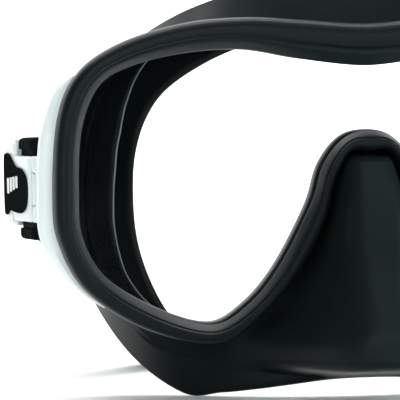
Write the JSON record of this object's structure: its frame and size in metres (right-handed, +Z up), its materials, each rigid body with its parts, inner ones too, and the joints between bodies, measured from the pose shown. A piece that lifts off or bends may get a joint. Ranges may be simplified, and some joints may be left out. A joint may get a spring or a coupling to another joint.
{
  "type": "diving mask",
  "caption": "Single-lens diving mask with a nose pocket, a black silicone skirt, white side frames with squeeze-button swivel buckles, and a split-pad head strap.",
  "frame": {"origin": "middle of the overall box, on the surface that the cheek lobes and the head pad rest on", "axes": "+Z up, +Y from the glass towards the wearer's face and the strap, +X towards the wearer's right hand side as seen from the front; x = 0 is the plane of symmetry"},
  "size_m": [0.175, 0.201, 0.107],
  "materials": {
    "lens_glass": "clear polished",
    "rim_rubber": "satin with a soft crown highlight",
    "skirt_silicone": "matt silicone",
    "strap_silicone": "matt ribbed silicone",
    "shell_white": "satin moulded",
    "hard_black": "fine textured",
    "button_black": "ribbed, satin",
    "badge_black": "semi-gloss",
    "pin_steel": "drawn stainless"
  },
  "bodies": {
    "mask": {"lens": "lens_glass", "rim": "rim_rubber", "retainer_ring": "hard_black", "skirt": "skirt_silicone", "side_frame_left": "shell_white", "side_frame_right": "shell_white", "hinge_pin_left": "pin_steel", "hinge_pin_right": "pin_steel", "strap_band_left": "strap_silicone", "strap_band_right": "strap_silicone", "head_pad": "strap_silicone"},
    "left_buckle": {"buckle_body_left": "shell_white", "buckle_badge_left": "badge_black", "pawl_pin_left": "pin_steel", "roller_axle_left": "pin_steel", "button_spring_left": "pin_steel", "strap_end_left": "strap_silicone", "strap_keeper_left": "hard_black"},
    "left_upper_button": {"upper_button_left": "button_black"},
    "left_lower_button": {"lower_button_left": "button_black"},
    "left_pawl": {"pawl_left": "hard_black"},
    "left_roller": {"strap_roller_left": "hard_black"},
    "right_buckle": {"buckle_body_right": "shell_white", "buckle_badge_right": "badge_black", "pawl_pin_right": "pin_steel", "roller_axle_right": "pin_steel", "button_spring_right": "pin_steel", "strap_end_right": "strap_silicone", "strap_keeper_right": "hard_black"},
    "right_upper_button": {"upper_button_right": "button_black"},
    "right_lower_button": {"lower_button_right": "button_black"},
    "right_pawl": {"pawl_right": "hard_black"},
    "right_roller": {"strap_roller_right": "hard_black"}
  },
  "joints": [
    {"name": "left_buckle_swivel", "type": "hinge", "parent": "mask", "child": "left_buckle", "pos_m": [-0.0792, -0.054, 0.053], "axis": [0, 0, 1], "range_deg": [-10, 26], "deforming": ["strap_band_left"]},
    {"name": "left_upper_button_press", "type": "slide", "parent": "left_buckle", "child": "left_upper_button", "axis": [0, 0, -1], "range_m": [0, 0.0015], "stiffness_N_per_m": 500, "springref_m": -0.002, "deforming": ["button_spring_left"]},
    {"name": "left_lower_button_press", "type": "slide", "parent": "left_buckle", "child": "left_lower_button", "axis": [0, 0, 1], "range_m": [0, 0.0015], "stiffness_N_per_m": 500, "springref_m": -0.002},
    {"name": "left_pawl_release", "type": "hinge", "parent": "left_buckle", "child": "left_pawl", "pos_m": [-0.07971, -0.0419, 0.053], "axis": [0, 0, 1], "range_deg": [0, 8]},
    {"name": "left_roller_spin", "type": "hinge", "parent": "left_buckle", "child": "left_roller", "pos_m": [-0.081, -0.02995, 0.053], "axis": [0, 0, 1], "continuous": true},
    {"name": "right_buckle_swivel", "type": "hinge", "parent": "mask", "child": "right_buckle", "pos_m": [0.0792, -0.054, 0.053], "axis": [0, 0, -1], "range_deg": [-10, 26], "deforming": ["strap_band_right"]},
    {"name": "right_upper_button_press", "type": "slide", "parent": "right_buckle", "child": "right_upper_button", "axis": [0, 0, -1], "range_m": [0, 0.0015], "stiffness_N_per_m": 500, "springref_m": -0.002, "deforming": ["button_spring_right"]},
    {"name": "right_lower_button_press", "type": "slide", "parent": "right_buckle", "child": "right_lower_button", "axis": [0, 0, 1], "range_m": [0, 0.0015], "stiffness_N_per_m": 500, "springref_m": -0.002},
    {"name": "right_pawl_release", "type": "hinge", "parent": "right_buckle", "child": "right_pawl", "pos_m": [0.07971, -0.0419, 0.053], "axis": [0, 0, -1], "range_deg": [0, 8]},
    {"name": "right_roller_spin", "type": "hinge", "parent": "right_buckle", "child": "right_roller", "pos_m": [0.081, -0.02995, 0.053], "axis": [0, 0, 1], "continuous": true}
  ],
  "couplings": [
    {"joint": "left_lower_button_press", "follows": "left_upper_button_press", "ratio": 1},
    {"joint": "left_pawl_release", "follows": "left_upper_button_press", "rad_per_m": 93},
    {"joint": "right_lower_button_press", "follows": "right_upper_button_press", "ratio": 1},
    {"joint": "right_pawl_release", "follows": "right_upper_button_press", "rad_per_m": 93}
  ]
}
